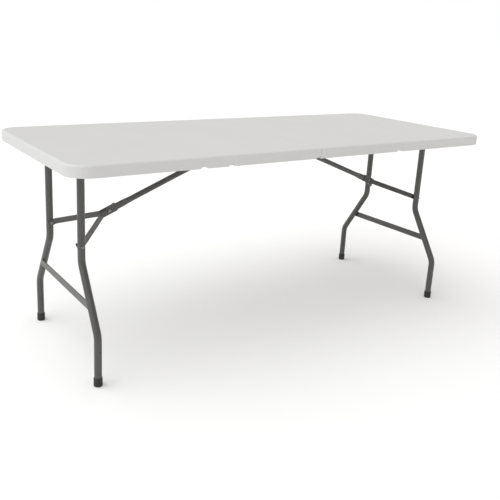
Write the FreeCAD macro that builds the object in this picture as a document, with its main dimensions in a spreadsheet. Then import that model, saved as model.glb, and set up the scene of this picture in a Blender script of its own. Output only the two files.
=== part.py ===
import FreeCAD, Part
import math
import os
import re
import Sketcher

# A fold-in-half table: two moulded top halves hinged together at the middle. Under each half a pair of
# steel legs folds flat, held open by a V-brace and a strut whose knee locks when they lie in one line.
#
# Frame: millimetres, X along the table's length, Y across its width, Z up, origin on the floor under the
# middle of the top. Every piece of a half is built for the +X (right) half; the left half's is its mirror.

doc = FreeCAD.newDocument("folding_table")

SIZES = {
    # top
    "length": 1800,
    "width": 740,
    "height": 740,
    "skirt_depth": 37,
    "skirt_wall": 14,
    "top_wall": 7,
    "corner_radius": 70,
    "edge_round": 8,
    "seam_gap": 1,
    # scallops in the skirt's lower edge
    "scallop_depth": 5.5,
    "scallop_narrow": 15,
    "scallop_wide": 30,
    "latch_scallop_place": 395,
    "end_scallop_place": 236,
    "overcut": 1,
    "seam_corner_run": 25,
    "seam_corner_rise": 9,
    # legs
    "leg_inset": 112,
    "leg_diameter": 25,
    "tube_wall": 1.2,
    "leg_spacing": 300,
    "foot_spacing": 560,
    "high_bend_drop": 341,
    "low_bend_height": 170,
    "bend_radius": 60,
    "foot_diameter": 29,
    "foot_height": 29,
    "foot_floor": 3,
    "crossbar_height": 258,
    "crossbar_depth": 24,
    "crossbar_thickness": 3.8,
    "crossbar_inset": 0.2,
    # cross tube that the legs turn on, and the straps that carry it
    "pivot_diameter": 22,
    "pivot_drop": 22.6,
    "pivot_length": 524,
    "strap_place": 225,
    "strap_width": 25,
    "strap_thickness": 2,
    "strap_flange": 14,
    "running_gap": 0.05,
    "pad_gap": 0.4,
    "pad_margin": 2,
    "screw_head_radius": 4,
    "screw_head_height": 2,
    "screw_radius": 2,
    "screw_bite": 4,
    # strut and its upper bracket
    "strut_diameter": 20,
    "strut_drop": 17.4,
    "strut_top_place": 50,
    "strut_flat_height": 25,
    "strut_flat_thickness": 6,
    "strut_flat_length": 58,
    "strut_taper_length": 30,
    "bolt_radius": 4,
    "bolt_head_radius": 6.8,
    "ear_gap": 0.4,
    "ear_thickness": 2.5,
    "ear_width": 26,
    "bracket_flange": 16,
    # V-brace and knee
    "rivet_drop": 287,
    "arm_depth": 20,
    "arm_thickness": 4,
    "arm_bend_radius": 12,
    "arm_gap": 0.4,
    "tab_ahead": 16,
    "tab_behind": 11,
    "cheek_gap": 0.6,
    "cheek_thickness": 2.5,
    "cheek_height": 26,
    "cheek_behind": 28,
    "cheek_ahead": 30,
    "weld_length": 18,
    "lip_length": 10,
    "lip_thickness": 2,
    "lip_gap": 0.3,
    "rivet_radius": 3,
    "rivet_head_radius": 5,
    "rivet_head_height": 2.2,
    # hinges
    "hinge_place": 215,
    "hinge_length": 60,
    "leaf_width": 34,
    "leaf_thickness": 2,
    "knuckle_radius": 4.5,
    "knuckle_gap": 0.2,
    "knuckle_relief": 0.7,
    "hinge_pin_radius": 2,
    "hinge_block": 40,
    "hinge_block_margin": 8,
    "hinge_screw_radius": 3,
    "hinge_screw_setback": 21,
    "hinge_screw_spread": 18,
    # carry handle
    "handle_place": 420.7,
    "handle_span": 104.2,
    "handle_reach": 62,
    "handle_radius": 2.5,
    "handle_bend": 6,
    "handle_pin": 25,
    "handle_rise": 2.8,
    "handle_setback": 4.4,
    "grip_radius": 7,
    "grip_length": 74,
    "clip_length": 9,
    "clip_depth": 9.4,
    "clip_height": 14,
    "clip_below": 1.4,
}

# Places worked out from the sizes above.
DERIVED = {
    "skirt_bottom": "height - skirt_depth",
    "ceiling": "height - top_wall",
    "half_length": "length / 2",
    "half_width": "width / 2",
    "leg_radius": "leg_diameter / 2",
    "pivot_radius": "pivot_diameter / 2",
    "strut_radius": "strut_diameter / 2",
    "pivot_x": "length / 2 - leg_inset",
    "pivot_z": "height - pivot_drop",
    "leg_y": "leg_spacing / 2",
    "foot_y": "foot_spacing / 2",
    "high_bend": "pivot_z - high_bend_drop",
    "pad_z": "pivot_z + pivot_radius + pad_gap",
    "rivet_z": "pivot_z - rivet_drop",
    "strut_top_z": "height - strut_drop",
    # the strut and the brace lie in one line both when the legs stand and when they are folded
    "open_rise": "rivet_drop + pivot_drop - strut_drop",
    "open_span": "pivot_x - strut_top_place",
    "open_reach": "sqrt(open_span ^ 2 + open_rise ^ 2)",
    "folded_reach": "sqrt((open_span - rivet_drop) ^ 2 + (pivot_drop - strut_drop) ^ 2)",
    "strut_length": "(open_reach + folded_reach) / 2",
    "brace_length": "(open_reach - folded_reach) / 2",
    "strut_slope": "atan(open_rise / open_span)",
    "knee_x": "pivot_x - brace_length * cos(strut_slope)",
    "knee_z": "rivet_z + brace_length * sin(strut_slope)",
    "cheek_inner": "strut_flat_thickness / 2 + cheek_gap",
    "cheek_outer": "cheek_inner + cheek_thickness",
    "lip_z": "strut_flat_height / 2 + lip_gap",
    "tab_y": "leg_y - leg_radius - arm_gap - arm_thickness / 2",
    "weld_y": "cheek_outer + arm_thickness / 2",
    "handle_y": "half_width - skirt_wall - handle_setback",
    "handle_z": "skirt_bottom + handle_rise",
    "third": "hinge_length / 3",
}

sheet = doc.addObject("Spreadsheet::Sheet", "Sizes")
for row, (word, number) in enumerate(SIZES.items(), 1):
    sheet.set(f"A{row}", word)
    sheet.set(f"B{row}", str(number))
    sheet.setAlias(f"B{row}", word)
doc.recompute()


def formula(text):
    """The sheet's formula for a text in the words above."""

    def spell(match):
        word = match.group(0)
        if word in DERIVED:
            return "(" + formula(DERIVED[word]) + ")"
        return "Sizes." + word if word in SIZES else word

    return re.sub(r"[a-z_]+", spell, str(text))


def value(text):
    """The number that a formula has now."""
    result = sheet.evalExpression(formula(text))
    return float(getattr(result, "Value", result))


def bind(thing, sizes):
    """Ties each property to its formula."""
    for name, text in sizes.items():
        thing.setExpression(name, formula(text))


def place(thing, at, turn=None):
    """Puts a thing at three formulas, turned by a fixed rotation."""
    if turn:
        thing.Placement = FreeCAD.Placement(FreeCAD.Vector(), turn)
    bind(thing, {f"Placement.Base.{axis}": text for axis, text in zip("xyz", at)})


TO_X = FreeCAD.Rotation(FreeCAD.Vector(0, 1, 0), 90)
TO_Y = FreeCAD.Rotation(FreeCAD.Vector(1, 0, 0), -90)
SKETCH_YZ = FreeCAD.Rotation(FreeCAD.Vector(1, 1, 1), 120)
SKETCH_XZ = FreeCAD.Rotation(FreeCAD.Vector(1, 0, 0), 90)
UP = FreeCAD.Rotation()
QUARTER_TURN = FreeCAD.Rotation(FreeCAD.Vector(0, 0, 1), 90)


def box(name, low, high):
    """A box between two corners, each three formulas."""
    made = doc.addObject("Part::Box", name)
    spans = [f"({b}) - ({a})" for a, b in zip(low, high)]
    bind(made, dict(zip(("Length", "Width", "Height"), spans)))
    place(made, low)
    return made


def rod(name, radius, length, at, turn=UP):
    """A cylinder from a point along the turned Z axis."""
    made = doc.addObject("Part::Cylinder", name)
    bind(made, {"Radius": radius, "Height": length})
    place(made, at, turn)
    return made


def cut(name, base, tool):
    """The base less the tool. Cutters run well past what they cut, which is why some lengths are doubled."""
    made = doc.addObject("Part::Cut", name)
    made.Base = base
    made.Tool = tool
    return made


def fuse(name, *pieces):
    made = doc.addObject("Part::MultiFuse", name)
    made.Shapes = pieces
    return made


def group(name, *pieces):
    """Several separate solids as one sub-part."""
    made = doc.addObject("Part::Compound", name)
    made.Links = pieces
    return made


def mirror(name, source, normal):
    """The source mirrored in the plane through the origin with this normal."""
    made = doc.addObject("Part::Mirroring", name)
    made.Source = source
    made.Normal = normal
    return made


ALONG = FreeCAD.Vector(1, 0, 0)
ACROSS = FreeCAD.Vector(0, 1, 0)


def pair(name, rear):
    """The rear piece and its front mirror, as one sub-part."""
    return group(name, rear, mirror(f"{name}_front_twin", rear, ACROSS))


def tied_point(sketch, curve, end, point):
    """Holds one point of a sketch at two formulas."""
    for kind, text in zip(("DistanceX", "DistanceY"), point):
        number = sketch.addConstraint(Sketcher.Constraint(kind, -1, 1, curve, end, value(text)))
        bind(sketch, {f"Constraints[{number}]": text})


def outline(name, points, at, turn=UP):
    """A closed outline of straight lines through points."""
    sketch = doc.addObject("Sketcher::SketchObject", name)
    place(sketch, at, turn)
    spots = [FreeCAD.Vector(value(u), value(v), 0) for u, v in points]
    for first, last in zip(spots, spots[1:] + spots[:1]):
        sketch.addGeometry(Part.LineSegment(first, last), False)
    for number, point in enumerate(points):
        before = (number - 1) % len(points)
        sketch.addConstraint(Sketcher.Constraint("Coincident", before, 2, number, 1))
        tied_point(sketch, number, 1, point)
    return sketch


def bent_path(name, points, radius, at, turn=UP):
    """An open line through points, with a tangent arc of one radius at each corner."""
    sketch = doc.addObject("Sketcher::SketchObject", name)
    place(sketch, at, turn)
    spots = [FreeCAD.Vector(value(u), value(v), 0) for u, v in points]
    reach = value(radius)
    starts, ends, arcs = [spots[0]], [], []
    for before, corner, after in zip(spots, spots[1:], spots[2:]):
        back = (before - corner).normalize()
        on = (after - corner).normalize()
        half = back.getAngle(on) / 2
        centre = corner + (back + on).normalize() * (reach / math.sin(half))
        ends.append(corner + back * (reach / math.tan(half)))
        starts.append(corner + on * (reach / math.tan(half)))
        middle = centre + (corner - centre).normalize() * reach
        arcs.append(Part.Arc(ends[-1], middle, starts[-1]))
    ends.append(spots[-1])
    lines = [sketch.addGeometry(Part.LineSegment(a, b), False) for a, b in zip(starts, ends)]
    for number, arc in enumerate(arcs):
        bend = sketch.addGeometry(arc, False)
        first = 1 if sketch.getPoint(bend, 1).distanceToPoint(ends[number]) < reach / 1000 else 2
        sketch.addConstraint(Sketcher.Constraint("Tangent", lines[number], 2, bend, first))
        sketch.addConstraint(Sketcher.Constraint("Tangent", lines[number + 1], 1, bend, 3 - first))
        round_it = sketch.addConstraint(Sketcher.Constraint("Radius", bend, reach))
        bind(sketch, {f"Constraints[{round_it}]": radius})
        corner = sketch.addGeometry(Part.Point(spots[number + 1]), True)
        sketch.addConstraint(Sketcher.Constraint("PointOnObject", corner, 1, lines[number]))
        sketch.addConstraint(Sketcher.Constraint("PointOnObject", corner, 1, lines[number + 1]))
        tied_point(sketch, corner, 1, points[number + 1])
    tied_point(sketch, lines[0], 1, points[0])
    tied_point(sketch, lines[-1], 2, points[-1])
    return sketch


def extrude(name, sketch, length):
    made = doc.addObject("Part::Extrusion", name)
    made.Base = sketch
    made.DirMode = "Normal"
    made.Solid = True
    bind(made, {"LengthFwd": length})
    return made


def circle(name, radius, at, turn=UP):
    made = doc.addObject("Part::Circle", name)
    bind(made, {"Radius": radius})
    place(made, at, turn)
    return made


def sweep(name, section, path):
    """The section carried along every edge of the path."""
    made = doc.addObject("Part::Sweep", name)
    made.Sections = [section]
    doc.recompute()
    made.Spine = (path, [f"Edge{number + 1}" for number in range(len(path.Shape.Edges))])
    made.Solid = True
    return made


def half_outline(body, name, inner, outer, side, radius, at):
    """A sketch in the body: square at the seam, rounded at the table's end."""
    sketch = body.newObject("Sketcher::SketchObject", name)
    floor = next(f for f in body.Origin.OriginFeatures if f.Role == "XY_Plane")
    sketch.AttachmentSupport = (floor, "")
    sketch.MapMode = "FlatFace"
    bind(sketch, {"AttachmentOffset.Base.z": at})
    near, far, edge, curve = value(inner), value(outer), value(side), value(radius)
    turn = curve * (1 - math.sqrt(0.5))
    spots = [
        (near, -edge),
        (far - curve, -edge),
        (far - turn, -edge + turn),
        (far, -edge + curve),
        (far, edge - curve),
        (far - turn, edge - turn),
        (far - curve, edge),
        (near, edge),
    ]
    points = [FreeCAD.Vector(u, v, 0) for u, v in spots]
    front = sketch.addGeometry(Part.LineSegment(points[0], points[1]), False)
    front_bend = sketch.addGeometry(Part.Arc(points[1], points[2], points[3]), False)
    end = sketch.addGeometry(Part.LineSegment(points[3], points[4]), False)
    rear_bend = sketch.addGeometry(Part.Arc(points[4], points[5], points[6]), False)
    rear = sketch.addGeometry(Part.LineSegment(points[6], points[7]), False)
    seam = sketch.addGeometry(Part.LineSegment(points[7], points[0]), False)
    for first, last in ((front, front_bend), (front_bend, end), (end, rear_bend), (rear_bend, rear)):
        sketch.addConstraint(Sketcher.Constraint("Tangent", first, 2, last, 1))
    sketch.addConstraint(Sketcher.Constraint("Coincident", rear, 2, seam, 1))
    sketch.addConstraint(Sketcher.Constraint("Coincident", seam, 2, front, 1))
    sketch.addConstraint(Sketcher.Constraint("Vertical", end))
    sketch.addConstraint(Sketcher.Constraint("Horizontal", front))
    sketch.addConstraint(Sketcher.Constraint("Horizontal", rear))
    sketch.addConstraint(Sketcher.Constraint("Equal", front_bend, rear_bend))
    sketch.addConstraint(Sketcher.Constraint("Symmetric", seam, 1, seam, 2, -1))
    for kind, spot, text in (
        ("DistanceX", (-1, 1, seam, 1), inner),
        ("DistanceX", (-1, 1, end, 1), outer),
        ("DistanceY", (seam, 2, seam, 1), f"2 * ({side})"),
    ):
        number = sketch.addConstraint(Sketcher.Constraint(kind, *spot, value(text)))
        bind(sketch, {f"Constraints[{number}]": text})
    number = sketch.addConstraint(Sketcher.Constraint("Radius", front_bend, curve))
    bind(sketch, {f"Constraints[{number}]": radius})
    return sketch


def scallop(name, centre, depth_from, depth_to):
    """The cutter of one scallop in the front skirt: a shallow dip with sloping sides."""
    low = "skirt_bottom - overcut"
    shape = [
        (f"{centre} - scallop_wide / 2", low),
        (f"{centre} + scallop_wide / 2", low),
        (f"{centre} + scallop_wide / 2", "skirt_bottom"),
        (f"{centre} + scallop_narrow / 2", "skirt_bottom + scallop_depth"),
        (f"{centre} - scallop_narrow / 2", "skirt_bottom + scallop_depth"),
        (f"{centre} - scallop_wide / 2", "skirt_bottom"),
    ]
    drawn = outline(f"{name}_outline", shape, ("0", depth_from, "0"), SKETCH_XZ)
    return extrude(name, drawn, f"({depth_from}) - ({depth_to})")


# Two heights nearer than this are the same.
SAME_PLACE = 0.001


def top_panel(name, cutters):
    """One top half: a plate with a skirt all round, pads for the straps and blocks for the hinges."""
    body = doc.addObject("PartDesign::Body", f"{name}_shell")
    face = half_outline(
        body, f"{name}_edge", "seam_gap / 2", "half_length", "half_width", "corner_radius", "skirt_bottom"
    )
    slab = body.newObject("PartDesign::Pad", f"{name}_slab")
    slab.Profile = face
    bind(slab, {"Length": "skirt_depth"})
    hollow = half_outline(
        body,
        f"{name}_hollow",
        "seam_gap / 2 + skirt_wall",
        "half_length - skirt_wall",
        "half_width - skirt_wall",
        "corner_radius - skirt_wall",
        "skirt_bottom",
    )
    cavity = body.newObject("PartDesign::Pocket", f"{name}_cavity")
    cavity.Profile = hollow
    cavity.Reversed = True
    bind(cavity, {"Length": "skirt_depth - top_wall"})
    doc.recompute()
    top, seam = value("height"), value("seam_gap") / 2
    rim = []
    for number, edge in enumerate(cavity.Shape.Edges, 1):
        if edge.BoundBox.ZMin > top - SAME_PLACE and edge.BoundBox.XMax > seam + SAME_PLACE:
            rim.append(f"Edge{number}")
    rounding = body.newObject("PartDesign::Fillet", f"{name}_rounding")
    rounding.Base = (cavity, rim)
    bind(rounding, {"Radius": "edge_round"})

    pads = []
    pad_half = "pivot_radius + strap_thickness + strap_flange + pad_margin"
    for word, sign in (("rear", ""), ("front", "-")):
        strap_y = f"{sign}strap_place"
        pads.append(box(
            f"{name}_{word}_pad",
            (f"pivot_x - ({pad_half})", f"{strap_y} - strap_width / 2 - pad_margin", "pad_z"),
            (f"pivot_x + {pad_half}", f"{strap_y} + strap_width / 2 + pad_margin", "ceiling"),
        ))
        hinge_y = f"{sign}hinge_place"
        block_half = "hinge_length / 2 + hinge_block_margin"
        pads.append(box(
            f"{name}_{word}_hinge_block",
            ("seam_gap / 2", f"{hinge_y} - ({block_half})", "skirt_bottom"),
            ("hinge_block", f"{hinge_y} + {block_half}", "ceiling"),
        ))
        seat_start = f"{hinge_y} - hinge_length / 2 - knuckle_gap"
        seat_end = f"{hinge_y} + hinge_length / 2 + knuckle_gap"
        cutters.append(box(
            f"{name}_{word}_leaf_seat",
            ("0", seat_start, "skirt_bottom - overcut"),
            ("leaf_width + knuckle_gap", seat_end, "skirt_bottom + leaf_thickness"),
        ))
        cutters.append(rod(
            f"{name}_{word}_knuckle_relief",
            "knuckle_radius + knuckle_relief",
            "hinge_length + 2 * knuckle_gap",
            ("0", seat_start, "skirt_bottom"),
            TO_Y,
        ))
    whole = fuse(f"{name}_whole", body, *pads)
    return cut(name, whole, fuse(f"{name}_cutters", *cutters))


def seam_corner(name, depth_from, depth_to):
    """The cutter that chamfers the lower corner of one long skirt at the seam."""
    run = "seam_gap / 2 + seam_corner_run"
    shape = [
        ("0", "skirt_bottom - overcut"),
        (run, "skirt_bottom - overcut"),
        (run, "skirt_bottom"),
        ("0", "skirt_bottom + seam_corner_rise"),
    ]
    drawn = outline(f"{name}_outline", shape, ("0", depth_from, "0"), SKETCH_XZ)
    return extrude(name, drawn, f"({depth_from}) - ({depth_to})")


# The middle of the leg tube, from its foot up, as distance from the table's middle and height.
LEG_POINTS = [
    ("foot_y", "foot_floor"),
    ("foot_y", "low_bend_height"),
    ("leg_y", "high_bend"),
    ("leg_y", "pivot_z"),
]


def leg(name, outer):
    """One leg tube, bent outwards below the brace and back to vertical near the floor."""
    bore_path = bent_path(f"{name}_bore_path", LEG_POINTS, "bend_radius", ("pivot_x", "0", "0"), SKETCH_YZ)
    bore_face = circle(f"{name}_bore_face", "leg_radius - tube_wall", ("pivot_x", "foot_y", "foot_floor"))
    bore = sweep(f"{name}_bore", bore_face, bore_path)
    before, across = "leg_y - leg_diameter", "leg_diameter * 2"
    seat = rod(f"{name}_saddle", "pivot_radius", across, ("pivot_x", before, "pivot_z"), TO_Y)
    hole = rod(f"{name}_rivet_hole", "rivet_radius", across, ("pivot_x", before, "rivet_z"), TO_Y)
    return cut(name, outer, fuse(f"{name}_cutters", bore, seat, hole))


def leg_blank(name):
    path = bent_path(f"{name}_path", LEG_POINTS, "bend_radius", ("pivot_x", "0", "0"), SKETCH_YZ)
    face = circle(f"{name}_face", "leg_radius", ("pivot_x", "foot_y", "foot_floor"))
    return sweep(name, face, path)


def leg_line(height):
    """How far the leg's middle is from the table's middle at a height between its bends."""
    lean = f"(foot_y - leg_y) * (high_bend - ({height})) / (high_bend - low_bend_height)"
    return f"leg_y + max(0; min(foot_y - leg_y; {lean}))"


def crossbar(name, blanks):
    """A flat bar between the legs, welded to their outer sides."""
    low, high = "crossbar_height - crossbar_depth / 2", "crossbar_height + crossbar_depth / 2"
    shape = [
        (f"-({leg_line(low)})", low),
        (leg_line(low), low),
        (leg_line(high), high),
        (f"-({leg_line(high)})", high),
    ]
    inner = "pivot_x + leg_radius - crossbar_inset - crossbar_thickness"
    drawn = outline(f"{name}_outline", shape, (inner, "0", "0"), SKETCH_YZ)
    bar = extrude(f"{name}_bar", drawn, "crossbar_thickness")
    return cut(name, bar, fuse(f"{name}_seats", *blanks))


def foot(name):
    """A moulded cap pushed over the tube's end."""
    cup = rod(f"{name}_cup", "foot_diameter / 2", "foot_height", ("pivot_x", "foot_y", "0"))
    socket = rod(f"{name}_socket", "leg_radius", "foot_height", ("pivot_x", "foot_y", "foot_floor"))
    return cut(name, cup, socket)


def pivot_tube(name):
    start = ("pivot_x", "-pivot_length / 2", "pivot_z")
    return cut(
        name,
        rod(f"{name}_outside", "pivot_radius", "pivot_length", start, TO_Y),
        rod(f"{name}_inside", "pivot_radius - tube_wall", "pivot_length", start, TO_Y),
    )


STRAP_SCREWS = [
    f"pivot_x {sign} (pivot_radius + running_gap + strap_thickness + strap_flange / 2)" for sign in "-+"
]


def strap(name):
    """A steel strap round the underside of the cross tube, with a flange on each side."""
    near, far = "strap_place - strap_width / 2", "strap_place + strap_width / 2"
    inner = "pivot_radius + running_gap"
    outer = f"({inner} + strap_thickness)"
    flange = f"({outer} + strap_flange)"
    axis_start = ("pivot_x", near, "pivot_z")
    shell = fuse(
        f"{name}_solid",
        rod(f"{name}_round", outer, "strap_width", axis_start, TO_Y),
        box(f"{name}_sides", (f"pivot_x - {outer}", near, "pivot_z"), (f"pivot_x + {outer}", far, "pad_z")),
        box(
            f"{name}_flanges",
            (f"pivot_x - {flange}", near, "pad_z - strap_thickness"),
            (f"pivot_x + {flange}", far, "pad_z"),
        ),
    )
    space = [
        rod(f"{name}_bore", inner, "strap_width", axis_start, TO_Y),
        box(f"{name}_slot", (f"pivot_x - ({inner})", near, "pivot_z"), (f"pivot_x + {inner}", far, "pad_z")),
        box(
            f"{name}_roof",
            (f"pivot_x - {outer}", near, "pad_z"),
            (f"pivot_x + {outer}", far, "pad_z + strap_width"),
        ),
    ]
    for number, spot in enumerate(STRAP_SCREWS):
        below = (spot, "strap_place", "pad_z - strap_thickness * 2")
        space.append(rod(f"{name}_hole{number}", "screw_radius", "strap_thickness * 3", below))
    return cut(name, shell, fuse(f"{name}_space", *space))


def screw(name, spot, under):
    """A pan-head screw driven upwards: the head's top is at the height called under."""
    head_start = (*spot, f"{under} - screw_head_height")
    head = rod(f"{name}_head", "screw_head_radius", "screw_head_height", head_start)
    shank = rod(f"{name}_shank", "screw_radius", "strap_thickness + screw_bite", (*spot, under))
    return fuse(name, head, shank)


def strut_bracket(name):
    """Two ears under the top, each on a flange, that hold the strut's upper bolt between them."""
    inner = "(strut_radius + ear_gap)"
    outer = f"({inner} + ear_thickness)"
    near, far = "strut_top_place - ear_width / 2", "strut_top_place + ear_width / 2"
    ear = fuse(
        f"{name}_ear",
        box(f"{name}_web", (near, inner, "strut_top_z"), (far, outer, "ceiling")),
        rod(f"{name}_eye", "ear_width / 2", "ear_thickness", ("strut_top_place", inner, "strut_top_z"), TO_Y),
        box(
            f"{name}_flange",
            (near, inner, "ceiling - ear_thickness"),
            (far, f"{outer} + bracket_flange", "ceiling"),
        ),
    )
    before_ear = ("strut_top_place", f"{inner} - ear_thickness", "strut_top_z")
    below_flange = ("strut_top_place", f"{outer} + bracket_flange / 2", "ceiling - ear_thickness * 2")
    holes = fuse(
        f"{name}_holes",
        rod(f"{name}_bolt_hole", "bolt_radius", "ear_thickness * 3", before_ear, TO_Y),
        rod(f"{name}_screw_hole", "screw_radius", "ear_thickness * 3", below_flange),
        box(
            f"{name}_roof",
            (near, inner, "ceiling"),
            (far, f"{outer} + bracket_flange", "ceiling + ear_width"),
        ),
    )
    return cut(f"{name}_rear_ear", ear, holes)


def cross_pin(name, radius, half, head_radius, head_height, at):
    """A pin along Y with a head on each end."""
    x, z = at
    shank = rod(f"{name}_shank", radius, f"2 * ({half})", (x, f"-({half})", z), TO_Y)
    head = rod(f"{name}_head", head_radius, head_height, (x, half, z), TO_Y)
    return fuse(name, shank, head, mirror(f"{name}_other_head", head, ACROSS))


def strut(name):
    """A tube, flattened at the knee, along X from the knee; its upper end is domed and bored."""
    flat_end = "strut_flat_length"
    round_end = "strut_flat_length + strut_taper_length"
    sections = [
        (f"{name}_knee_section", "Part::Ellipse", "-strut_flat_height"),
        (f"{name}_flat_section", "Part::Ellipse", flat_end),
        (f"{name}_round_section", "Part::Circle", round_end),
        (f"{name}_top_section", "Part::Circle", "strut_length"),
    ]
    rings = []
    for word, kind, spot in sections:
        ring = doc.addObject(kind, word)
        if kind == "Part::Ellipse":
            bind(ring, {"MajorRadius": "strut_flat_height / 2", "MinorRadius": "strut_flat_thickness / 2"})
        else:
            bind(ring, {"Radius": "strut_radius"})
        place(ring, (spot, "0", "0"), TO_X)
        rings.append(ring)
    skin = doc.addObject("Part::Loft", f"{name}_skin")
    skin.Sections = rings
    skin.Solid = True
    skin.Ruled = True
    end_block = box(
        f"{name}_end_block",
        ("-2 * strut_flat_height", "-strut_radius", "-strut_flat_height"),
        ("0", "strut_radius", "strut_flat_height"),
    )
    side = ("0", "-strut_radius", "0")
    end_round = rod(f"{name}_end_round", "strut_flat_height / 2", "strut_diameter", side, TO_Y)
    past_the_end = cut(f"{name}_past_the_end", end_block, end_round)
    dome = doc.addObject("Part::Sphere", f"{name}_dome")
    bind(dome, {"Radius": "strut_radius"})
    place(dome, ("strut_length", "0", "0"))
    solid = fuse(f"{name}_solid", skin, dome)
    bore_length = f"strut_length - ({round_end}) - strut_diameter"
    bore = rod(f"{name}_bore", "strut_radius - tube_wall", bore_length, (round_end, "0", "0"), TO_X)
    holes = [past_the_end, bore]
    eye = "bolt_radius + running_gap"
    for word, spot in (("knee", "0"), ("top", "strut_length")):
        before = (spot, "-strut_diameter", "0")
        holes.append(rod(f"{name}_{word}_eye", eye, "strut_diameter * 2", before, TO_Y))
    return cut(name, solid, fuse(f"{name}_holes", *holes))


def brace_arm(name):
    """A flat strip on edge: a tab beside the leg, a slanting run, and an end along the knee cheek.

    X runs from the leg rivet to the knee, and the path starts at the tab's free end.
    """
    weld_start = "tab_behind + brace_length - cheek_behind"
    points = [
        ("0", "tab_y"),
        ("tab_behind + tab_ahead", "tab_y"),
        (weld_start, "weld_y"),
        (f"{weld_start} + weld_length", "weld_y"),
    ]
    path = bent_path(f"{name}_path", points, "arm_bend_radius", ("-tab_behind", "0", "0"))
    half, edge = "arm_thickness / 2", "arm_depth / 2"
    corners = [
        (f"tab_y - {half}", f"-{edge}"),
        (f"tab_y + {half}", f"-{edge}"),
        (f"tab_y + {half}", edge),
        (f"tab_y - {half}", edge),
    ]
    section = outline(f"{name}_section", corners, ("-tab_behind", "0", "0"), SKETCH_YZ)
    strip = sweep(f"{name}_strip", section, path)
    before = ("0", "tab_y - arm_thickness * 2", "0")
    return cut(name, strip, rod(f"{name}_hole", "rivet_radius", "arm_thickness * 4", before, TO_Y))


def knee_bracket(name):
    """Two cheeks beside the strut's flat end, joined by a lip over its top edge: the stop of the knee."""
    back, front = "brace_length - cheek_behind", "brace_length + cheek_ahead"
    lip_back = "brace_length + cheek_ahead - lip_length"
    lip_top = "lip_z + lip_thickness"
    cheek = box(
        f"{name}_cheek",
        (back, "cheek_inner", "-cheek_height / 2"),
        (front, "cheek_outer", "cheek_height / 2"),
    )
    raised = box(f"{name}_riser", (lip_back, "cheek_inner", "0"), (front, "cheek_outer", lip_top))
    side = fuse(f"{name}_side", cheek, raised)
    lip = box(f"{name}_lip", (lip_back, "-cheek_outer", "lip_z"), (front, "cheek_outer", lip_top))
    whole = fuse(f"{name}_whole", side, mirror(f"{name}_front_side", side, ACROSS), lip)
    before = ("brace_length", "-cheek_outer * 2", "0")
    return cut(name, whole, rod(f"{name}_hole", "bolt_radius", "cheek_outer * 4", before, TO_Y))


def tab_rivet(name):
    """The brace's half of a leg rivet: a stub in the tab with its head on the inner side."""
    inner = "tab_y - arm_thickness / 2"
    stub = rod(f"{name}_stub", "rivet_radius", "arm_thickness", ("0", inner, "0"), TO_Y)
    head_start = ("0", f"{inner} - rivet_head_height", "0")
    head = rod(f"{name}_head", "rivet_head_radius", "rivet_head_height", head_start, TO_Y)
    return fuse(f"{name}_rear", stub, head)


def leg_rivet(name):
    """The leg's half of the rivet: a shank through the tube with its head on the outer side."""
    inside = ("pivot_x", "leg_y - leg_radius", "rivet_z")
    shank = rod(f"{name}_shank", "rivet_radius", "leg_diameter", inside, TO_Y)
    outside = ("pivot_x", "leg_y + leg_radius", "rivet_z")
    head = rod(f"{name}_head", "rivet_head_radius", "rivet_head_height", outside, TO_Y)
    below = ("pivot_x", "leg_y", "rivet_z - rivet_head_radius * 2")
    bed = rod(f"{name}_bed", "leg_radius", "rivet_head_radius * 4", below)
    middle = ("pivot_x", "leg_y", "rivet_z")
    under = rod(f"{name}_under_head", "rivet_head_radius", "leg_radius", middle, TO_Y)
    return fuse(f"{name}_rear", shank, head, cut(f"{name}_collar", under, bed))


HINGE_SCREWS = [("hinge_screw_setback", f"hinge_place {sign} hinge_screw_spread") for sign in "-+"]


def hinge_leaf(name, middle):
    """One leaf of a hinge at the rear, with its knuckles: the middle one, or the two outer ones."""
    near, far = "hinge_place - hinge_length / 2", "hinge_place + hinge_length / 2"
    thirds = ["hinge_place - third / 2"] if middle else [near, "hinge_place + third / 2"]
    setback = "knuckle_radius + knuckle_relief"
    top = "skirt_bottom + leaf_thickness"
    pieces = [box(f"{name}_plate", (setback, near, "skirt_bottom"), ("leaf_width", far, top))]
    for number, start in enumerate(thirds):
        low, high = f"{start} + knuckle_gap / 2", f"{start} + third - knuckle_gap / 2"
        pieces.append(box(f"{name}_neck{number}", ("0", low, "skirt_bottom"), (setback, high, top)))
        knuckle_start = ("0", low, "skirt_bottom")
        knuckle = rod(f"{name}_knuckle{number}", "knuckle_radius", "third - knuckle_gap", knuckle_start, TO_Y)
        pieces.append(knuckle)
    before = ("0", "hinge_place - hinge_length", "skirt_bottom")
    holes = [rod(f"{name}_pin_hole", "hinge_pin_radius + running_gap", "hinge_length * 2", before, TO_Y)]
    for number, spot in enumerate(HINGE_SCREWS):
        below = (*spot, "skirt_bottom - leaf_thickness")
        holes.append(rod(f"{name}_hole{number}", "hinge_screw_radius", "leaf_thickness * 3", below))
    return cut(f"{name}_rear", fuse(f"{name}_blank", *pieces), fuse(f"{name}_holes", *holes))


def hinge_screw(name, spot):
    """A flat-head screw, flush with the leaf."""
    head = rod(f"{name}_head", "hinge_screw_radius", "leaf_thickness", (*spot, "skirt_bottom"))
    shank = rod(f"{name}_shank", "screw_radius", "leaf_thickness + screw_bite", (*spot, "skirt_bottom"))
    return fuse(name, head, shank)


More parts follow.
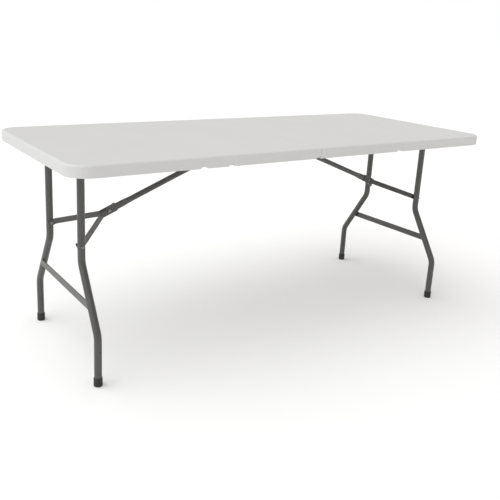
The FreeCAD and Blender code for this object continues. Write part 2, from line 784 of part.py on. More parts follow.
def carry_handle(name):
    """A bent rod: two pins, two arms and a bar with a grip, lying inwards behind the front skirt."""
    far = "handle_span + 2 * handle_pin"
    points = [
        ("0", "0"),
        ("handle_pin", "0"),
        ("handle_pin", "handle_reach"),
        ("handle_pin + handle_span", "handle_reach"),
        ("handle_pin + handle_span", "0"),
        (far, "0"),
    ]
    start = ("handle_place - handle_span / 2 - handle_pin", "-handle_y", "handle_z")
    path = bent_path(f"{name}_path", points, "handle_bend", start)
    rod_part = sweep(f"{name}_rod", circle(f"{name}_section", "handle_radius", start, TO_X), path)
    grip_start = ("handle_place - grip_length / 2", "handle_reach - handle_y", "handle_z")
    return fuse(name, rod_part, rod(f"{name}_grip", "grip_radius", "grip_length", grip_start, TO_X))


def handle_clip(name, start):
    """A block on the skirt's inner face with a bore for one pin of the handle."""
    face = "-(half_width - skirt_wall)"
    low = "skirt_bottom - clip_below"
    high_corner = (f"{start} + clip_length", f"{face} + clip_depth", f"{low} + clip_height")
    block = box(f"{name}_block", (start, face, low), high_corner)
    before = (f"{start} - clip_length", "-handle_y", "handle_z")
    bore = rod(f"{name}_bore", "handle_radius + running_gap", "clip_length * 3", before, TO_X)
    return cut(name, block, bore)


# ---- the pieces that both halves have, built on the right and mirrored to the left ----

def on_brace(name, piece):
    """Puts a piece drawn along the brace on it: from the leg rivet up towards the middle of the table."""
    turned = mirror(f"{name}_inwards", piece, ALONG)
    return lean(name, turned, ("pivot_x", "0", "rivet_z"))


def lean(name, piece, at):
    """A group of one piece, leaned by the strut's slope about Y and put at a point."""
    made = doc.addObject("Part::Compound", name)
    made.Links = [piece]
    # The axis has to be set before its angle can be tied, and an angle of nothing would lose it.
    made.Placement = FreeCAD.Placement(FreeCAD.Vector(), FreeCAD.Rotation(ACROSS, value("strut_slope")))
    bind(made, {"Placement.Rotation.Angle": "strut_slope"})
    bind(made, {f"Placement.Base.{axis}": text for axis, text in zip("xyz", at)})
    return made


sub_parts = {}


def both_halves(name, piece):
    """Keeps a piece as the right half's sub-part, and its mirror as the left half's."""
    sub_parts[f"right_{name}"] = piece
    sub_parts[f"left_{name}"] = mirror(f"left_{name}", piece, ALONG)


rear_blank = leg_blank("rear_leg_blank")
front_blank = mirror("front_leg_blank", rear_blank, ACROSS)
rear_leg = leg("rear_leg", rear_blank)
both_halves("rear_leg", rear_leg)
both_halves("front_leg", mirror("front_leg", rear_leg, ACROSS))
both_halves("crossbar", crossbar("crossbar", (rear_blank, front_blank)))
rear_foot = foot("rear_foot")
both_halves("rear_foot", rear_foot)
both_halves("front_foot", mirror("front_foot", rear_foot, ACROSS))
both_halves("pivot_tube", pivot_tube("pivot_tube"))
both_halves("leg_rivets", pair("leg_rivets", leg_rivet("leg_rivet")))

both_halves("pivot_straps", pair("pivot_straps", strap("rear_strap")))
strap_screws = group("rear_strap_screws", *[
    screw(f"strap_screw{number}", (spot, "strap_place"), "pad_z - strap_thickness")
    for number, spot in enumerate(STRAP_SCREWS)
])
both_halves("strap_screws", pair("strap_screws", strap_screws))

both_halves("strut_bracket", pair("strut_bracket", strut_bracket("strut_bracket_ear")))
ear_outside = "strut_radius + ear_gap + ear_thickness"
bracket_screw_spot = ("strut_top_place", f"{ear_outside} + bracket_flange / 2")
bracket_screw = screw("bracket_screw", bracket_screw_spot, "ceiling - ear_thickness")
both_halves("bracket_screws", pair("bracket_screws", bracket_screw))
strut_top = ("strut_top_place", "strut_top_z")
both_halves("strut_bolt", cross_pin(
    "strut_bolt", "bolt_radius", ear_outside, "bolt_head_radius", "bolt_radius", strut_top
))

# The strut is drawn from the knee towards +X, so on the right half it is turned to run inwards.
strut_inwards = mirror("strut_inwards", strut("strut_blank"), ALONG)
both_halves("strut", lean("strut", strut_inwards, ("knee_x", "0", "knee_z")))

rear_arm = on_brace("rear_brace_arm", brace_arm("brace_arm"))
both_halves("rear_brace_arm", rear_arm)
both_halves("front_brace_arm", mirror("front_brace_arm", rear_arm, ACROSS))
both_halves("knee_bracket", on_brace("knee_bracket", knee_bracket("knee_bracket_blank")))
both_halves("knee_rivet", cross_pin(
    "knee_rivet", "bolt_radius", "cheek_outer", "bolt_head_radius", "rivet_head_height", ("knee_x", "knee_z")
))
both_halves("brace_rivets", on_brace("brace_rivets", pair("tab_rivets", tab_rivet("tab_rivet"))))

# ---- the hinges: the left leaf has the outer knuckles, the right leaf the middle one ----

for side, middle in (("right", True), ("left", False)):
    leaves = pair(f"{side}_leaves", hinge_leaf(f"{side}_leaf", middle))
    screws = pair(f"{side}_leaf_screws", group(f"{side}_rear_leaf_screws", *[
        hinge_screw(f"{side}_leaf_screw{number}", spot) for number, spot in enumerate(HINGE_SCREWS)
    ]))
    for name, piece in (("hinge_leaves", leaves), ("hinge_screws", screws)):
        sub_parts[f"{side}_{name}"] = piece if side == "right" else mirror(f"left_{name}", piece, ALONG)

pin_start = ("0", "hinge_place - hinge_length / 2", "skirt_bottom")
rear_pin = rod("rear_hinge_pin", "hinge_pin_radius", "hinge_length", pin_start, TO_Y)
sub_parts["hinge_pins"] = pair("hinge_pins", rear_pin)

# ---- the two top halves, which differ in their scallops ----

front_wall = ("-half_width + skirt_wall + overcut", "-half_width - overcut")
right_cutters = [scallop("latch_scallop", "latch_scallop_place", *front_wall)]
sub_parts["right_top"] = top_panel("right_top", right_cutters)

left_cutters = [
    scallop(f"handle_scallop{number}", f"(handle_place {sign} handle_span / 2)", *front_wall)
    for number, sign in enumerate("-+")
]
end_cutter = scallop("end_scallop", "end_scallop_place", "overcut - skirt_wall", "overcut")
end_cutter_turned = doc.addObject("Part::Compound", "end_scallop_turned")
end_cutter_turned.Links = [end_cutter]
end_cutter_turned.Placement = FreeCAD.Placement(FreeCAD.Vector(), QUARTER_TURN)
bind(end_cutter_turned, {"Placement.Base.x": "half_length"})
left_cutters.append(end_cutter_turned)
left_cutters.append(seam_corner("front_seam_corner", "-half_width + skirt_wall", "-half_width - overcut"))
left_cutters.append(seam_corner("rear_seam_corner", "half_width + overcut", "half_width - skirt_wall"))
left_panel = top_panel("left_top_blank", left_cutters)
sub_parts["left_top"] = mirror("left_top", left_panel, ALONG)

handle = mirror("carry_handle", carry_handle("carry_handle_blank"), ALONG)
sub_parts["carry_handle"] = handle
clip_starts = [
    "handle_place - handle_span / 2 - handle_pin",
    "handle_place + handle_span / 2 + handle_pin - clip_length",
]
clips = group("handle_clips_blank", *[handle_clip(f"clip{n}", start) for n, start in enumerate(clip_starts)])
sub_parts["handle_clips"] = mirror("handle_clips", clips, ALONG)

for name, piece in sub_parts.items():
    piece.Label = name

doc.recompute()

failed = [thing.Name for thing in doc.Objects if {"Invalid", "Error"} & set(thing.State)]
if failed:
    raise RuntimeError(f"these objects failed: {failed}")
for name, piece in sub_parts.items():
    if piece.Shape.isNull() or not piece.Shape.isValid() or not piece.Shape.Solids:
        raise RuntimeError(f"{name} has no valid solid")

os.makedirs("parts", exist_ok=True)
for name, piece in sub_parts.items():
    piece.Shape.exportStep(f"parts/{name}.step")
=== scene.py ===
# %% [markdown]
# # A fold-in-half table, finished in Blender
# The table has two moulded plastic halves that close on each other like a case. Under each half a pair of
# grey tube legs folds flat. The measured parts come from the CAD model, and this lesson gives them their
# finishes and adds the small things that a maker would add by hand: rivet domes, cross-slot screws, welds
# and ribbed feet.

# %% Open the frame
import math

import bmesh
import bpy
from mathutils import Matrix, Vector


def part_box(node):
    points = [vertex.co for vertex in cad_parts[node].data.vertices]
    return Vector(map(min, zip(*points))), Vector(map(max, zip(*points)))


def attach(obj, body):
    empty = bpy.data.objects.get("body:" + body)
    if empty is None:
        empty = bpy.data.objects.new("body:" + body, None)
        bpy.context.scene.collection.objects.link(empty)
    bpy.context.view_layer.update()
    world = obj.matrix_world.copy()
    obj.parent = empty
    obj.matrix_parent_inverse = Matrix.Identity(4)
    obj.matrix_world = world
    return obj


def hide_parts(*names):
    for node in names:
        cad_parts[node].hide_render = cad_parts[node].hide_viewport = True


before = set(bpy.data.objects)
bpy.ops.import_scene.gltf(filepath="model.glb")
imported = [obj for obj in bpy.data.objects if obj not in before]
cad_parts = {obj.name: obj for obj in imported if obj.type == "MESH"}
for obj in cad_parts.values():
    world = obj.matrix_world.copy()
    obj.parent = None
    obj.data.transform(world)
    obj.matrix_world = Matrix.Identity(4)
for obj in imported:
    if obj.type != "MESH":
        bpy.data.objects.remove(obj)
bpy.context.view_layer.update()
SIDES = ("left", "right")
MM = 0.001

# %% [markdown]
# ## Where the eye stands
# The viewer stands to the left of the table, a little above its top, and looks along and across it. The
# camera is set out as a person would do it with a tripod: a place, then a heading, then a tilt down, then a
# slight roll. One matrix holds the three turns, which is simpler to read than three Euler angles.

# %% Camera
EYE = Vector((-1.5284, -2.0577, 1.1229))
HEADING, TILT, ROLL = 0.5971, 0.2686, 0.0483
FOCAL_MM, SENSOR_MM = 47.51, 36.0
SHIFT = (0.045, -0.08)

camera_data = bpy.data.cameras.new("eye")
camera_data.sensor_width = SENSOR_MM
camera_data.lens = FOCAL_MM
camera_data.shift_x, camera_data.shift_y = SHIFT
camera_data.clip_start, camera_data.clip_end = 0.05, 200.0
camera = bpy.data.objects.new("eye", camera_data)
bpy.context.collection.objects.link(camera)
turn = (
    Matrix.Rotation(-HEADING, 4, "Z")
    @ Matrix.Rotation(math.pi / 2 - TILT, 4, "X")
    @ Matrix.Rotation(ROLL, 4, "Z")
)
camera.matrix_world = Matrix.Translation(EYE) @ turn
bpy.context.scene.camera = camera
print("camera stands", round((EYE - Vector((0, 0, 0.37))).length, 2), "m from the middle of the table")

# %% [markdown]
# ## The studio
# A product of pale plastic is shown on a pale floor, in light so wide that no shadow has a hard edge. A white
# sky fills every shadow. One very wide sun stands high over the left end: it makes the top and that end
# bright and leaves the long front edge in half shade. A sun was chosen over light panels because it lights
# the whole floor evenly, so the floor runs into the sky with no line between them.

# %% Floor, sky and sun
FLOOR_RADIUS = 150.0
SKY_FILL, SKY_WARMTH = 0.61, (1.0, 0.974, 0.948)
SUN_STRENGTH, SUN_WIDTH_DEG, SUN_COOLNESS = 2.07, 85.0, (0.968, 0.990, 1.0)
SUN_FROM = Vector((-0.7, 0.1, 1.0))


def light_sun(strength, width_deg, coolness, comes_from):
    """Makes a slightly cool sun whose wide disc gives soft shadows."""
    data = bpy.data.lights.new("wide_sun", "SUN")
    data.energy = strength
    data.angle = math.radians(width_deg)
    data.color = coolness
    lamp = bpy.data.objects.new("wide_sun", data)
    bpy.context.collection.objects.link(lamp)
    lamp.rotation_mode = "QUATERNION"
    lamp.rotation_quaternion = comes_from.to_track_quat("Z", "Y")
    return lamp


def lay_floor(radius):
    """Makes the round floor that the feet stand on."""
    mesh = bpy.data.meshes.new("studio_floor")
    shape = bmesh.new()
    bmesh.ops.create_circle(shape, cap_ends=True, radius=radius, segments=96)
    shape.to_mesh(mesh)
    shape.free()
    made = bpy.data.objects.new("studio_floor", mesh)
    bpy.context.collection.objects.link(made)
    return made


def paint_sky(fill, warmth):
    """Makes a sky that looks plain white, and lights the table with a softer and slightly warm white."""
    world = bpy.data.worlds.new("white_sky")
    world.use_nodes = True
    tree = world.node_tree
    lighting = tree.nodes["Background"]
    lighting.inputs["Color"].default_value = (*warmth, 1.0)
    lighting.inputs["Strength"].default_value = fill
    seen = tree.nodes.new("ShaderNodeBackground")
    seen.inputs["Color"].default_value = (1.0, 1.0, 1.0, 1.0)
    path = tree.nodes.new("ShaderNodeLightPath")
    choice = tree.nodes.new("ShaderNodeMixShader")
    tree.links.new(path.outputs["Is Camera Ray"], choice.inputs["Fac"])
    tree.links.new(lighting.outputs["Background"], choice.inputs[1])
    tree.links.new(seen.outputs["Background"], choice.inputs[2])
    tree.links.new(choice.outputs["Shader"], tree.nodes["World Output"].inputs["Surface"])
    return world


floor = lay_floor(FLOOR_RADIUS)
light_sun(SUN_STRENGTH, SUN_WIDTH_DEG, SUN_COOLNESS, SUN_FROM)
bpy.context.scene.world = paint_sky(SKY_FILL, SKY_WARMTH)
bpy.context.scene.view_settings.view_transform = "Standard"
print("floor", FLOOR_RADIUS, "m in radius, and", len(bpy.data.lights), "sun")

# %% [markdown]
# ## A small kit for finishes
# Every finish here is a shader with a pattern behind it. Patterns read Object coordinates, which are metres
# on the table itself, so a grain of two millimetres is written as two millimetres. A number that is the same
# all over a surface is set on the shader, and only what varies gets a node.

# %% Finish helpers
def start_finish(name, colour, roughness, metallic=0.0, specular=0.5):
    """Makes a material with steady values, and returns it with its tree, shader and coordinates."""
    finish = bpy.data.materials.new(name)
    finish.use_nodes = True
    tree = finish.node_tree
    shader = tree.nodes["Principled BSDF"]
    shader.inputs["Base Color"].default_value = (*colour, 1.0)
    shader.inputs["Roughness"].default_value = roughness
    shader.inputs["Metallic"].default_value = metallic
    shader.inputs["Specular IOR Level"].default_value = specular
    coordinates = tree.nodes.new("ShaderNodeTexCoord")
    return finish, tree, shader, coordinates


def pattern(tree, coordinates, scale, detail=2.0, kind="ShaderNodeTexNoise"):
    """Adds a noise or cell pattern, with its scale in repeats per metre."""
    node = tree.nodes.new(kind)
    node.inputs["Scale"].default_value = scale
    if "Detail" in node.inputs:
        node.inputs["Detail"].default_value = detail
    tree.links.new(coordinates.outputs["Object"], node.inputs["Vector"])
    return node


def spread(tree, source, low, high, out_low, out_high):
    """Turns a pattern's values from low to high into values from out_low to out_high."""
    node = tree.nodes.new("ShaderNodeMapRange")
    node.inputs["From Min"].default_value = low
    node.inputs["From Max"].default_value = high
    node.inputs["To Min"].default_value = out_low
    node.inputs["To Max"].default_value = out_high
    tree.links.new(source, node.inputs["Value"])
    return node.outputs["Result"]


def tint(tree, source, dark, light):
    """Blends between two colours by a pattern's value."""
    node = tree.nodes.new("ShaderNodeValToRGB")
    node.color_ramp.elements[0].color = (*dark, 1.0)
    node.color_ramp.elements[1].color = (*light, 1.0)
    tree.links.new(source, node.inputs["Fac"])
    return node.outputs["Color"]


def calculate(tree, operation, first, second):
    """Adds, multiplies or compares two values, each a socket or a number."""
    node = tree.nodes.new("ShaderNodeMath")
    node.operation = operation
    for socket, given in zip(node.inputs, (first, second)):
        if isinstance(given, (int, float)):
            socket.default_value = given
        else:
            tree.links.new(given, socket)
    return node.outputs["Value"]


def emboss(tree, shader, height, strength, depth):
    """Gives the shader a bump from a height pattern, with its depth in metres."""
    node = tree.nodes.new("ShaderNodeBump")
    node.inputs["Strength"].default_value = strength
    node.inputs["Distance"].default_value = depth
    tree.links.new(height, node.inputs["Height"])
    tree.links.new(node.outputs["Normal"], shader.inputs["Normal"])


# %% [markdown]
# ## Pebbled polyethylene
# The halves are blow-moulded from off-white polyethylene. The mould is etched, so the face that people eat at
# has a fine pebble that hides scratches, while the skirt is almost smooth. One finish covers both: a mask
# made from the way the surface faces keeps the pebble on top. The pebbles are the cells of a Voronoi
# pattern, because etched leather grain is made of rounded cells with creases between them.

# %% Top finish
PEBBLES_PER_METRE = 420.0


def make_polyethylene():
    finish, tree, shader, coordinates = start_finish(
        "pebbled_polyethylene", (0.615, 0.615, 0.612), 0.50, specular=0.35
    )
    facing = tree.nodes.new("ShaderNodeSeparateXYZ")
    tree.links.new(coordinates.outputs["Normal"], facing.inputs["Vector"])
    upward = spread(tree, facing.outputs["Z"], 0.6, 0.95, 0.12, 1.0)
    pebbles = pattern(tree, coordinates, PEBBLES_PER_METRE, kind="ShaderNodeTexVoronoi")
    pebbles.feature = "SMOOTH_F1"
    flow = pattern(tree, coordinates, 1400.0, detail=3.0)
    crease = calculate(tree, "MULTIPLY", pebbles.outputs["Distance"], upward)
    grain = calculate(tree, "MULTIPLY", flow.outputs["Fac"], 0.25)
    emboss(tree, shader, calculate(tree, "ADD", crease, grain), 0.55, 0.00018)
    cloud = pattern(tree, coordinates, 5.0, detail=4.0)
    colour = tint(tree, cloud.outputs["Fac"], (0.60, 0.60, 0.597), (0.635, 0.635, 0.632))
    tree.links.new(colour, shader.inputs["Base Color"])
    tree.links.new(spread(tree, flow.outputs["Fac"], 0.3, 0.7, 0.40, 0.54), shader.inputs["Roughness"])
    return finish


polyethylene = make_polyethylene()
print("finish:", polyethylene.name)

# %% [markdown]
# ## Powder-coated steel
# Legs, braces and struts are coated dry, with a dark grey powder that is baked until it flows. It never
# levels quite like glass, so it keeps a shallow orange-peel wave, and its satin changes a little from place
# to place. A noise pattern does the wave, and a second, wider one moves the roughness.

# %% Leg finish
def make_powder_coat():
    finish, tree, shader, coordinates = start_finish(
        "satin_powder_coat", (0.066, 0.065, 0.062), 0.33, specular=0.6
    )
    peel = pattern(tree, coordinates, 900.0, detail=1.0)
    emboss(tree, shader, peel.outputs["Fac"], 0.30, 0.00012)
    drift = pattern(tree, coordinates, 28.0, detail=5.0)
    colour = tint(tree, drift.outputs["Fac"], (0.056, 0.055, 0.053), (0.076, 0.075, 0.072))
    tree.links.new(colour, shader.inputs["Base Color"])
    tree.links.new(spread(tree, drift.outputs["Fac"], 0.3, 0.7, 0.27, 0.39), shader.inputs["Roughness"])
    return finish


powder_coat = make_powder_coat()
print("finish:", powder_coat.name)

# %% [markdown]
# ## Zinc plate
# Rivets, screws, hinge leaves and pins are zinc-plated. Handled zinc is a dull grey, slightly cloudy metal:
# the clouds are where the plating grew in crystals. A metallic shader with cloudy roughness is enough.

# %% Fixings finish
def make_zinc():
    finish, tree, shader, coordinates = start_finish(
        "zinc_plate", (0.23, 0.24, 0.24), 0.46, metallic=1.0
    )
    clouds = pattern(tree, coordinates, 160.0, detail=6.0)
    colour = tint(tree, clouds.outputs["Fac"], (0.18, 0.19, 0.19), (0.28, 0.29, 0.29))
    tree.links.new(colour, shader.inputs["Base Color"])
    tree.links.new(spread(tree, clouds.outputs["Fac"], 0.3, 0.7, 0.40, 0.56), shader.inputs["Roughness"])
    emboss(tree, shader, clouds.outputs["Fac"], 0.12, 0.00005)
    return finish


zinc = make_zinc()
print("finish:", zinc.name)

# %% [markdown]
# ## Black and dark moulded plastic
# The feet are soft black caps that grip the floor, and the carry handle is a harder dark grey. Both come
# from a spark-eroded mould, which leaves an even, very fine texture. The same recipe makes the two, with its
# own colour and gloss for each.

# %% Foot and handle finishes
def make_moulded(name, dark, light, smooth, rough):
    finish, tree, shader, coordinates = start_finish(name, light, rough)
    sparks = pattern(tree, coordinates, 2200.0, detail=2.0)
    emboss(tree, shader, sparks.outputs["Fac"], 0.35, 0.00008)
    dust = pattern(tree, coordinates, 60.0, detail=4.0)
    tree.links.new(tint(tree, dust.outputs["Fac"], dark, light), shader.inputs["Base Color"])
    tree.links.new(spread(tree, dust.outputs["Fac"], 0.3, 0.7, smooth, rough), shader.inputs["Roughness"])
    return finish


foot_plastic = make_moulded("black_foot_plastic", (0.010, 0.010, 0.011), (0.024, 0.024, 0.025), 0.50, 0.68)
handle_plastic = make_moulded("dark_handle_plastic", (0.060, 0.060, 0.062), (0.085, 0.085, 0.088), 0.38, 0.52)
print("finishes:", foot_plastic.name, handle_plastic.name)

# %% [markdown]
# ## Dress the measured parts
# The CAD parts keep their shapes and get a finish each. Their names say what they are, so the finish follows
# from a word in the name, and the same rule dresses both halves.

# %% Assign finishes
FINISH_BY_WORD = (
    ("_top", polyethylene),
    ("_foot", foot_plastic),
    ("handle", handle_plastic),
    ("screw", zinc),
    ("rivet", zinc),
    ("bolt", zinc),
    ("hinge", zinc),
)


def finish_for(part):
    return next((finish for word, finish in FINISH_BY_WORD if word in part), powder_coat)


for part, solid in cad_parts.items():
    solid.data.materials.clear()
    solid.data.materials.append(finish_for(part))
floor_finish, floor_tree, floor_shader, floor_coordinates = start_finish(
    "pale_floor", (0.95, 0.95, 0.95), 0.9, specular=0.1
)
floor_cloud = pattern(floor_tree, floor_coordinates, 0.6)
floor_tree.links.new(
    tint(floor_tree, floor_cloud.outputs["Fac"], (0.94, 0.94, 0.94), (0.96, 0.96, 0.96)),
    floor_shader.inputs["Base Color"],
)
floor.data.materials.append(floor_finish)
print("dressed", len(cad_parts), "parts")

# %% [markdown]
# ## One tool that sets fittings on marks
# A table like this is held together by small things that repeat: rivets, screws, weld beads, feet. Each is
# shaped once, as a small solid that stands on its own origin with +Z pointing out of the work. Geometry Nodes
# then set a copy on every mark. A mark is a loose point that knows which way is out, so one tree serves
# rivets on the legs and screws under the top alike. The copies are made real at the end and given their
# finish, because an export keeps real faces and drops copies.

# %% The fittings tree
def input_socket(tree, name, kind, value=None):
    """Adds a named input to a Geometry Nodes tree and returns the identifier that a modifier sets it by."""
    socket = tree.interface.new_socket(name=name, in_out="INPUT", socket_type=kind)
    if value is not None:
        socket.default_value = value
    return socket.identifier


def start_tree(name):
    """Makes an empty Geometry Nodes tree with its geometry going in and coming out."""
    tree = bpy.data.node_groups.new(name, "GeometryNodeTree")
    tree.interface.new_socket(name="Geometry", in_out="INPUT", socket_type="NodeSocketGeometry")
    tree.interface.new_socket(name="Geometry", in_out="OUTPUT", socket_type="NodeSocketGeometry")
    return tree


def wire(tree, source, output, target, entry):
    """Joins one node's output to another node's input."""
    tree.links.new(source.outputs[output], target.inputs[entry])


def finish_tree(tree, inputs, last, output="Instances"):
    """Makes the copies real, gives them their finish and sends them out."""
    real = tree.nodes.new("GeometryNodeRealizeInstances")
    paint = tree.nodes.new("GeometryNodeSetMaterial")
    leave = tree.nodes.new("NodeGroupOutput")
    wire(tree, last, output, real, "Geometry")
    wire(tree, real, "Geometry", paint, "Geometry")
    wire(tree, inputs, "Finish", paint, "Material")
    wire(tree, paint, "Geometry", leave, "Geometry")


def make_fittings_tree():
    """Sets a fitting on each mark, turned to face out, with its own chance turn about that line."""
    tree = start_tree("set_fittings")
    sockets = {
        "Fitting": input_socket(tree, "Fitting", "NodeSocketObject"),
        "Finish": input_socket(tree, "Finish", "NodeSocketMaterial"),
        "Chance turn": input_socket(tree, "Chance turn", "NodeSocketFloat", 0.0),
        "Seed": input_socket(tree, "Seed", "NodeSocketInt", 7),
    }
    inputs = tree.nodes.new("NodeGroupInput")
    shape = tree.nodes.new("GeometryNodeObjectInfo")
    out_way = tree.nodes.new("GeometryNodeInputNamedAttribute")
    out_way.data_type = "FLOAT_VECTOR"
    out_way.inputs["Name"].default_value = "out_way"
    face = tree.nodes.new("FunctionNodeAlignRotationToVector")
    face.axis = "Z"
    chance = tree.nodes.new("FunctionNodeRandomValue")
    chance.data_type = "FLOAT"
    spin = tree.nodes.new("ShaderNodeCombineXYZ")
    place = tree.nodes.new("GeometryNodeInstanceOnPoints")
    turn_each = tree.nodes.new("GeometryNodeRotateInstances")
    wire(tree, inputs, "Fitting", shape, "Object")
    wire(tree, inputs, "Geometry", place, "Points")
    wire(tree, shape, "Geometry", place, "Instance")
    wire(tree, out_way, "Attribute", face, "Vector")
    wire(tree, face, "Rotation", place, "Rotation")
    tree.links.new(inputs.outputs["Chance turn"], chance.inputs[3])
    tree.links.new(inputs.outputs["Seed"], chance.inputs["Seed"])
    tree.links.new(chance.outputs[1], spin.inputs["Z"])
    wire(tree, place, "Instances", turn_each, "Instances")
    wire(tree, spin, "Vector", turn_each, "Rotation")
    finish_tree(tree, inputs, turn_each)
    return tree, sockets


fittings_tree, fittings_sockets = make_fittings_tree()
print("tree:", fittings_tree.name, "with inputs", ", ".join(fittings_sockets))


# %% Marks, shapes and the finished piece
def new_piece(name, mesh):
    """Puts a mesh in the scene as an object at the origin."""
    piece = bpy.data.objects.new(name, mesh)
    bpy.context.collection.objects.link(piece)
    return piece


def mark_out(name, marks):
    """Makes loose points from (place, way out) pairs."""
    mesh = bpy.data.meshes.new(name)
    mesh.from_pydata([place for place, _ in marks], [], [])
    ways = mesh.attributes.new("out_way", "FLOAT_VECTOR", "POINT")
    for number, (_, way) in enumerate(marks):
        ways.data[number].vector = way
    return new_piece(name, mesh)


def run_tree(base, tree, values, name):
    """Runs a tree on a base object and keeps the result as a plain mesh at the origin."""
    modifier = base.modifiers.new(tree.name, "NODES")
    modifier.node_group = tree
    for identifier, value in values.items():
        modifier[identifier] = value
    view = bpy.context.evaluated_depsgraph_get()
    mesh = bpy.data.meshes.new_from_object(base.evaluated_get(view), depsgraph=view)
    mesh.name = name
    base.modifiers.remove(modifier)
    bpy.data.objects.remove(base)
    return new_piece(name, mesh)


def set_fittings(name, fitting, finish, marks, chance_turn=0.0):
    """Copies a fitting to each mark and returns one plain piece."""
    values = {
        fittings_sockets["Fitting"]: fitting,
        fittings_sockets["Finish"]: finish,
        fittings_sockets["Chance turn"]: chance_turn,
    }
    return run_tree(mark_out(name + "_marks", marks), fittings_tree, values, name)


def lathe(name, profile, steps=24):
    """Turns a closed solid about Z from (radius, height) pairs that start and end on the axis.

    A list of radii in place of one radius makes a ring that is not round.
    """
    shape = bmesh.new()
    rings = []
    angles = [2 * math.pi * step / steps for step in range(steps)]
    for radius, height in profile:
        if radius == 0:
            rings.append([shape.verts.new((0, 0, height))])
            continue
        reach = radius if isinstance(radius, list) else [radius] * steps
        rings.append(
            [shape.verts.new((r * math.cos(a), r * math.sin(a), height)) for r, a in zip(reach, angles)]
        )
    for low, high in zip(rings, rings[1:]):
        for step in range(steps):
            after = (step + 1) % steps
            lower = [low[step % len(low)], low[after % len(low)]]
            upper = [high[after % len(high)], high[step % len(high)]]
            shape.faces.new(list(dict.fromkeys(lower + upper)))
    bmesh.ops.recalc_face_normals(shape, faces=shape.faces)
    mesh = bpy.data.meshes.new(name)
    shape.to_mesh(mesh)
    shape.free()
    for face in mesh.polygons:
        face.use_smooth = True
    return new_piece(name, mesh)


def put_away(*shapes):
    """Removes the shapes that the copies were made from."""
    for shape in shapes:
        bpy.data.objects.remove(shape)


def middle(node):
    """The middle of a CAD part's box."""
    low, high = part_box(node)
    return (Vector(low) + Vector(high)) / 2


# %% [markdown]
# ## Domed rivet heads
# Rivets are set with a cupped tool, so their heads are low domes with a small flat rim, not flat discs. A
# turned shape says that in eight numbers. Each dome stands on the flat head of the measured rivet.

# %% Rivet domes
RIVET_DOME = [(0, -0.3), (4.6, -0.3), (4.95, 0.0), (4.7, 0.35), (3.6, 0.85), (2.0, 1.15), (0, 1.25)]
BOLT_DOME = [(0, -0.3), (6.3, -0.3), (6.75, 0.0), (6.4, 0.5), (4.8, 1.1), (2.6, 1.45), (0, 1.55)]


def scaled(profile, factor=MM):
    return [(radius * factor, height * factor) for radius, height in profile]


rivet_dome = lathe("rivet_dome", scaled(RIVET_DOME))
bolt_dome = lathe("bolt_dome", scaled(BOLT_DOME))
FRONT, REAR = Vector((0, -1, 0)), Vector((0, 1, 0))


def both_ends(node):
    """Marks on the two outer faces of a part that runs across the table."""
    low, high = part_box(node)
    at = middle(node)
    return [((at.x, low[1], at.z), FRONT), ((at.x, high[1], at.z), REAR)]


for side in SIDES:
    leg_domes = set_fittings(f"{side}_leg_rivet_domes", rivet_dome, zinc, both_ends(f"{side}_leg_rivets"))
    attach(leg_domes, f"{side}_leg_frame")
    knee_domes = set_fittings(f"{side}_knee_rivet_domes", bolt_dome, zinc, both_ends(f"{side}_knee_rivet"))
    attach(knee_domes, f"{side}_brace")
    bolt_domes = set_fittings(f"{side}_strut_bolt_domes", bolt_dome, zinc, both_ends(f"{side}_strut_bolt"))
    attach(bolt_domes, f"{side}_half")
    for piece in (leg_domes, knee_domes, bolt_domes):
        print(piece.name, len(piece.data.polygons), "faces")
put_away(rivet_dome, bolt_dome)

# %% [markdown]
# ## Screws with a cross slot
# The straps, the strut brackets and the hinge leaves are held by screws. A driver needs a cross to turn them,
# and no two screws stop at the same angle. So each head is turned like a rivet, but its inner rings reach
# further along four arms, and each copy gets a chance turn from a fixed seed. They take the place of the
# plain measured screws.

# %% Cross-slot screws
ARM_STEPS = 6
SCREW_STEPS = 4 * ARM_STEPS
SHANK_RADIUS, HEAD_HEIGHT = 2.0 * MM, 2.0 * MM
SCREW_REACH = 12.0 * MM
SCREW_HEADS = {"strap_screws": 4.0 * MM, "bracket_screws": 4.0 * MM, "hinge_screws": 3.0 * MM}


def cross_ring(arm, core):
    """Ring radii that reach out along four arms."""
    return [arm if step % ARM_STEPS in (0, 1, ARM_STEPS - 1) else core for step in range(SCREW_STEPS)]


def turn_screw(name, head, shank_length):
    """Makes a screw on its seat, with +Z out of the head."""
    rings = [
        (0, -shank_length),
        (SHANK_RADIUS * 0.4, -shank_length),
        (SHANK_RADIUS, -shank_length + SHANK_RADIUS),
        (SHANK_RADIUS, 0.0),
        (head, 0.0),
        (head, HEAD_HEIGHT * 0.5),
        (head * 0.88, HEAD_HEIGHT * 0.85),
        (head * 0.68, HEAD_HEIGHT),
        (cross_ring(head * 0.56, head * 0.20), HEAD_HEIGHT),
        (cross_ring(head * 0.40, head * 0.15), HEAD_HEIGHT * 0.3),
        (0, HEAD_HEIGHT * 0.3),
    ]
    return lathe(name, rings, SCREW_STEPS)


def screw_places(part):
    """The X and Y of each screw in a part, from the points that lie close together."""
    groups = []
    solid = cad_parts[part]
    for vertex in solid.data.vertices:
        spot = solid.matrix_world @ vertex.co
        near = [group for group in groups if (group[0] - spot).xy.length < SCREW_REACH]
        if near:
            near[0].append(spot)
        else:
            groups.append([spot])
    return [
        ((min(p.x for p in g) + max(p.x for p in g)) / 2, (min(p.y for p in g) + max(p.y for p in g)) / 2)
        for g in groups
    ]


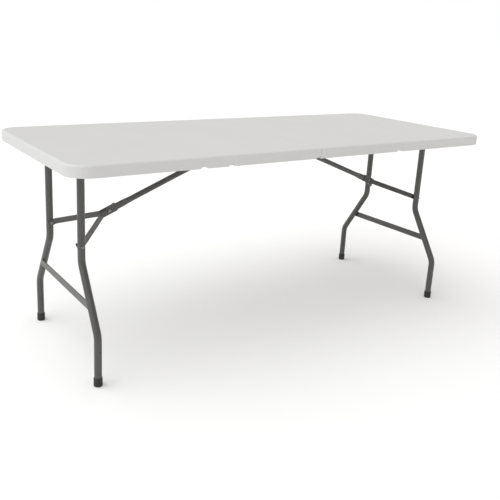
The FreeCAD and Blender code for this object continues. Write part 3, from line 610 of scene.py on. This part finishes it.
DOWN, UP = Vector((0, 0, -1)), Vector((0, 0, 1))
for side in SIDES:
    for word, head in SCREW_HEADS.items():
        part = f"{side}_{word}"
        low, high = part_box(part)
        seat = low[2] + HEAD_HEIGHT
        screw = turn_screw(word, head, high[2] - seat)
        marks = [((x, y, seat), DOWN) for x, y in screw_places(part)]
        piece = set_fittings(f"{side}_cross_{word}", screw, zinc, marks, chance_turn=math.pi / 2)
        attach(piece, f"{side}_half")
        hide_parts(part)
        put_away(screw)
        print(piece.name, len(marks), "screws")

# %% [markdown]
# ## Feet with ribs
# The feet are soft caps pushed over the tube ends. Two shallow grooves make a grip for the hand that pulls
# them off, the floor edge is rounded so it doesn't tear, and the mouth has a small rolled lip. The cap is a
# real cup: the profile goes up outside, over the lip and down inside the tube's socket.

# %% Ribbed feet
FOOT_CAP = [
    (0, 0), (11.6, 0), (13.4, 0.5), (14.3, 1.8), (14.5, 3.6), (14.5, 9.0), (13.9, 9.6), (13.9, 11.0),
    (14.5, 11.6), (14.5, 15.0), (13.9, 15.6), (13.9, 17.0), (14.5, 17.6), (14.5, 27.6), (14.1, 28.6),
    (13.4, 29.0), (12.5, 28.7), (12.5, 3.0), (0, 3.0),
]

foot_cap = lathe("foot_cap", scaled(FOOT_CAP), 40)
for side in SIDES:
    feet = [f"{side}_front_foot", f"{side}_rear_foot"]
    marks = [((middle(foot).x, middle(foot).y, 0.0), UP) for foot in feet]
    caps = set_fittings(f"{side}_ribbed_feet", foot_cap, foot_plastic, marks)
    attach(caps, f"{side}_leg_frame")
    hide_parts(*feet)
    print(caps.name, len(caps.data.polygons), "faces")
put_away(foot_cap)

# %% [markdown]
# ## Welds under the top
# Each leg is welded to the pivot tube where it runs into it. A hand weld is a row of overlapping drops along
# the seam. The seam is where two round tubes cross, so each drop's place comes from the two radii: it lies
# on the leg's round, at the height where the pivot tube's underside passes. Powder coat covers the welds.

# %% Weld beads
LEG_RADIUS, PIVOT_RADIUS = 12.5 * MM, 11.0 * MM
LEG_TOP_Y = 0.150
BEAD = [(0, -1.4), (1.5, -1.2), (2.1, -0.3), (1.9, 0.5), (1.1, 1.1), (0, 1.3)]
BEADS_PER_SEAM = 12
SEAM_SHARE = 0.94


def seam_marks(axis, leg_y):
    """Marks along the two sides of the seam between a leg and the pivot tube."""
    marks = []
    for toward in (1, -1):
        for number in range(BEADS_PER_SEAM):
            across = PIVOT_RADIUS * SEAM_SHARE * (1 - 2 * number / (BEADS_PER_SEAM - 1))
            along = toward * math.sqrt(LEG_RADIUS**2 - across**2)
            drop = math.sqrt(PIVOT_RADIUS**2 - across**2)
            out = Vector((across, along, -drop)).normalized()
            marks.append(((axis.x + across, leg_y + along, axis.z - drop), out))
    return marks


bead = lathe("weld_bead", scaled(BEAD), 10)
for side in SIDES:
    axis = middle(f"{side}_pivot_tube")
    marks = seam_marks(axis, -LEG_TOP_Y) + seam_marks(axis, LEG_TOP_Y)
    welds = set_fittings(f"{side}_leg_welds", bead, powder_coat, marks, chance_turn=math.pi)
    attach(welds, f"{side}_leg_frame")
    print(welds.name, len(marks), "beads")
put_away(bead)
